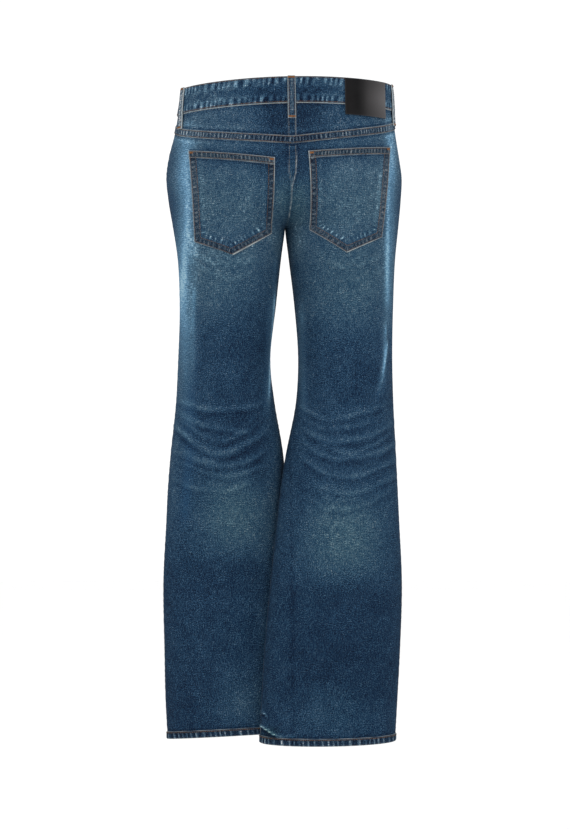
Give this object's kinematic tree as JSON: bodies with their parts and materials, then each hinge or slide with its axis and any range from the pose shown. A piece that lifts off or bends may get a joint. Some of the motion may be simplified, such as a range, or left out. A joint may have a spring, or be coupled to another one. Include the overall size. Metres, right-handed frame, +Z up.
{
  "type": "bootcut jeans, worn shape with no wearer",
  "caption": "Low-rise bootcut jeans in worn hollow form: waistband with loops, back yoke and patch pockets, fly, scooped front pockets, flared legs and turned hems.",
  "frame": {"origin": "the middle of the waist opening, level with the top of the waistband at the side seams, where the wearer holds the jeans up", "axes": "+Z up along the legs, the back of the jeans faces +Y, the front -Y, the wearer's left is +X"},
  "size_m": [0.3755, 0.2295, 1.0404],
  "materials": {
    "denim": "washed indigo twill denim with pale wear along seams, and rust-coloured stitching",
    "leather": "smooth black leather with a low gloss",
    "button_metal": "aged brass"
  },
  "bodies": {
    "root": {"front_left": "denim", "front_right": "denim", "back_left": "denim", "back_right": "denim", "yoke_left": "denim", "yoke_right": "denim", "hem_left": "denim", "hem_right": "denim", "pocket_left": "denim", "pocket_right": "denim", "facing_left": "denim", "facing_right": "denim", "waistband": "denim", "belt_loop_centre": "denim", "belt_loop_side_left": "denim", "belt_loop_side_right": "denim", "belt_loop_front_left": "denim", "belt_loop_front_right": "denim", "fly": "denim", "leather_patch": "leather", "waist_button": "button_metal"}
  },
  "joints": []
}
